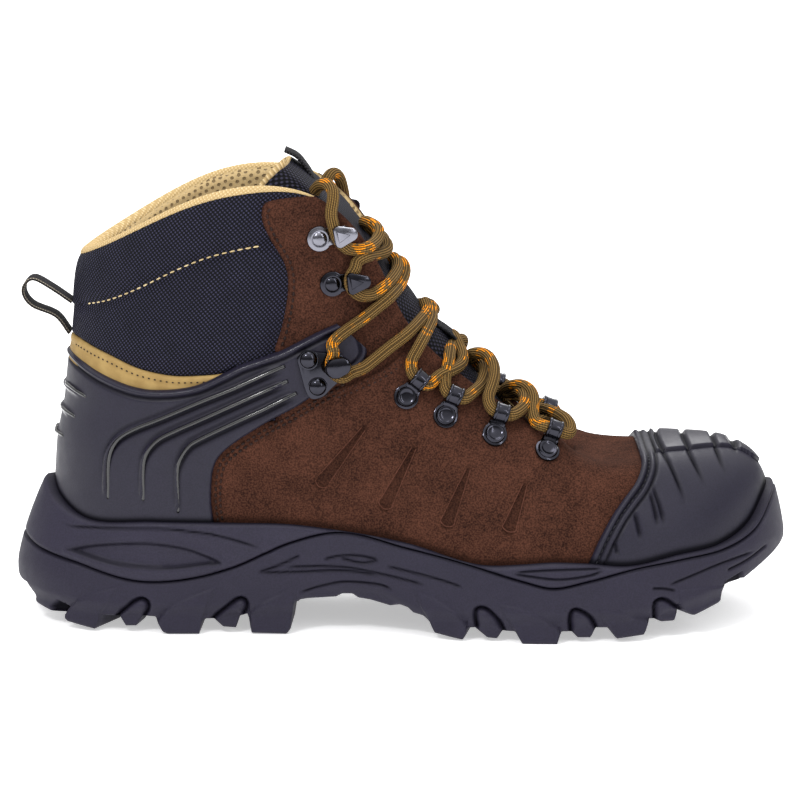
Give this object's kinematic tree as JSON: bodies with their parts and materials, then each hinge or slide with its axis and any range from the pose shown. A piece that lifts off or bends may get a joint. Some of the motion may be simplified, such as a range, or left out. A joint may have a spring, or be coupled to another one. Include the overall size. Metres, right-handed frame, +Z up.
{
  "type": "work shoe",
  "caption": "Mid-cut lace-up work boot for the right foot: hollow padded upper, rubber toe and heel guards, hook lacing and a lugged cup sole.",
  "frame": {"origin": "middle of the sole's outline on the ground", "axes": "+X towards the toe, +Y towards the inner side of the right foot, +Z up"},
  "size_m": [0.3054, 0.1099, 0.189],
  "materials": {
    "rubber": "matte",
    "foam": "matte",
    "suede": "napped",
    "lining": "mesh",
    "textile": "woven",
    "metal": "black nickel",
    "cord": "braided",
    "webbing": "woven tape"
  },
  "bodies": {
    "root": {"outsole": "rubber", "midsole": "foam", "upper": "suede", "insole": "lining", "tongue": "textile", "toe_cap": "rubber", "heel_counter": "rubber", "lace_loop_outer_1": "metal", "lace_loop_inner_1": "metal", "lace_loop_outer_2": "metal", "lace_loop_inner_2": "metal", "lace_loop_outer_3": "metal", "lace_loop_inner_3": "metal", "lace_loop_outer_4": "metal", "lace_loop_inner_4": "metal", "lock_hook_outer_5": "metal", "lock_hook_inner_5": "metal", "open_hook_outer_6": "metal", "open_hook_inner_6": "metal", "open_hook_outer_7": "metal", "open_hook_inner_7": "metal", "lace_bar": "cord", "lace_crossing_1": "cord", "lace_crossing_2": "cord", "lace_crossing_3": "cord", "lace_crossing_4": "cord", "lace_crossing_5": "cord", "lace_crossing_6": "cord", "lace_end_outer": "cord", "lace_end_inner": "cord", "pull_loop": "webbing", "tongue_tab": "webbing"}
  },
  "joints": []
}
